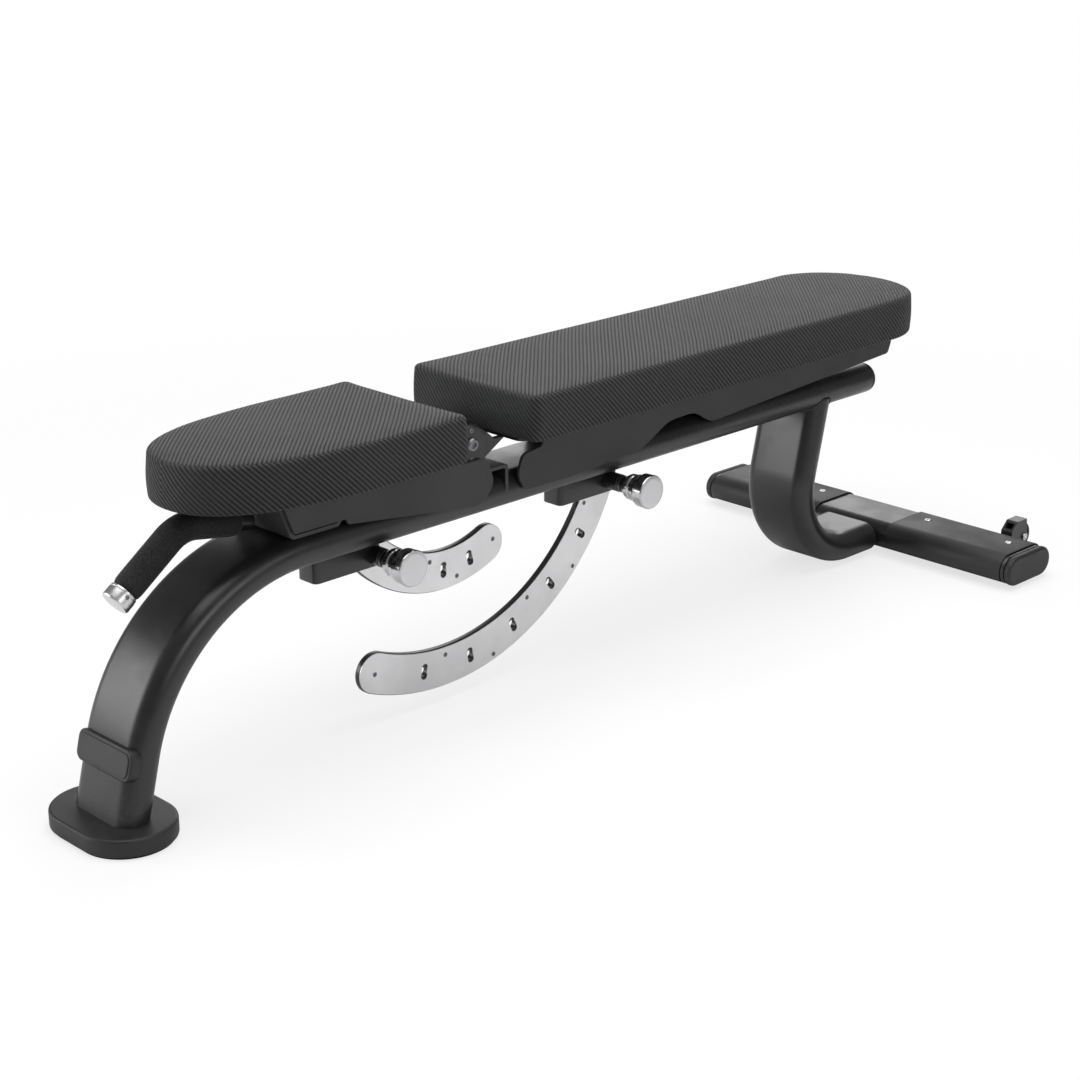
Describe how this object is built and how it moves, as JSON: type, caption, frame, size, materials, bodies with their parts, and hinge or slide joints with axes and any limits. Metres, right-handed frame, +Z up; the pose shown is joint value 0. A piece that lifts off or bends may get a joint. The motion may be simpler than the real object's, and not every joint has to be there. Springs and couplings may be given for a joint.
{
  "type": "adjustable weight bench",
  "caption": "Weight bench with a padded seat and backrest that tilt on one axle, locked by sprung pull pins in drilled arc plates, with transport wheels and a grip handle.",
  "frame": {"origin": "floor level, under the middle of the bench's length, on its plane of symmetry", "axes": "+X towards the head end of the backrest, +Y across the bench towards the side without knobs, +Z up"},
  "size_m": [1.723, 0.638, 0.457],
  "materials": {
    "upholstery": "ribbed black leatherette with a fine woven emboss",
    "powder_coat": "satin black powder coat",
    "plate_coat": "flat dark grey powder coat",
    "black_plastic": "satin moulded black plastic",
    "rubber": "matte black rubber",
    "grip_foam": "fine-grained black foam grip",
    "stainless": "satin stainless steel",
    "bright_chrome": "polished chrome with a satin end face",
    "bronze": "plain sintered bronze"
  },
  "bodies": {
    "frame": {"main_tube": "powder_coat", "beam_end_cap": "black_plastic", "front_foot_pad": "rubber", "front_foot_plate": "powder_coat", "front_foot_cover": "black_plastic", "badge_plate": "black_plastic", "rear_crossbar": "powder_coat", "rear_post": "powder_coat", "crossbar_cover_right": "black_plastic", "crossbar_cover_left": "black_plastic", "crossbar_cap_right": "black_plastic", "crossbar_cap_left": "black_plastic", "rear_foot_right": "rubber", "rear_foot_left": "rubber", "wheel_bracket_right": "powder_coat", "wheel_bracket_left": "powder_coat", "wheel_axle_right": "bright_chrome", "wheel_axle_left": "bright_chrome", "pin_block_seat": "powder_coat", "pin_housing_seat": "powder_coat", "pin_spring_seat": "stainless", "pin_block_back": "powder_coat", "pin_housing_back": "powder_coat", "pin_spring_back": "stainless", "pivot_pedestal": "powder_coat", "pivot_ear_right": "powder_coat", "pivot_ear_left": "powder_coat", "pivot_axle": "stainless", "axle_screw_right": "stainless", "axle_screw_left": "stainless"},
    "seat": {"seat_pad": "upholstery", "seat_deck": "powder_coat", "seat_side_plate_right": "plate_coat", "seat_side_plate_left": "plate_coat", "seat_front_member": "plate_coat", "seat_hinge_lug_right": "powder_coat", "seat_hinge_lug_left": "powder_coat", "seat_hinge_bush_right": "bronze", "seat_hinge_bush_left": "bronze", "seat_arc": "powder_coat", "seat_arc_face": "stainless", "seat_arc_bracket": "powder_coat", "handle_tube": "powder_coat", "handle_grip": "grip_foam", "handle_end_cap": "bright_chrome"},
    "backrest": {"back_pad": "upholstery", "back_deck": "powder_coat", "back_side_plate_right": "plate_coat", "back_side_plate_left": "plate_coat", "back_hinge_lug_right": "powder_coat", "back_hinge_lug_left": "powder_coat", "back_hinge_bush_right": "bronze", "back_hinge_bush_left": "bronze", "back_arc": "powder_coat", "back_arc_face": "stainless", "back_arc_bracket": "powder_coat"},
    "seat_pin": {"pull_pin_seat": "bright_chrome"},
    "back_pin": {"pull_pin_back": "bright_chrome"},
    "wheel_right": {"transport_wheel_right": "rubber"},
    "wheel_left": {"transport_wheel_left": "rubber"}
  },
  "joints": [
    {"name": "backrest_tilt", "type": "hinge", "parent": "frame", "child": "backrest", "pos_m": [-0.2435, 0, 0.39], "axis": [0, -1, 0], "range_deg": [0, 75]},
    {"name": "seat_tilt", "type": "hinge", "parent": "frame", "child": "seat", "pos_m": [-0.2435, 0, 0.39], "axis": [0, -1, 0], "range_deg": [-60, 0]},
    {"name": "seat_pin_pull", "type": "slide", "parent": "frame", "child": "seat_pin", "axis": [0, -1, 0], "range_m": [0, 0.012], "stiffness_N_per_m": 1500, "springref_m": -0.006},
    {"name": "back_pin_pull", "type": "slide", "parent": "frame", "child": "back_pin", "axis": [0, -1, 0], "range_m": [0, 0.012], "stiffness_N_per_m": 1500, "springref_m": -0.006},
    {"name": "wheel_right_spin", "type": "hinge", "parent": "frame", "child": "wheel_right", "pos_m": [0.8365, -0.2325, 0.0385], "axis": [0, 1, 0], "continuous": true},
    {"name": "wheel_left_spin", "type": "hinge", "parent": "frame", "child": "wheel_left", "pos_m": [0.8365, 0.2325, 0.0385], "axis": [0, 1, 0], "continuous": true}
  ]
}
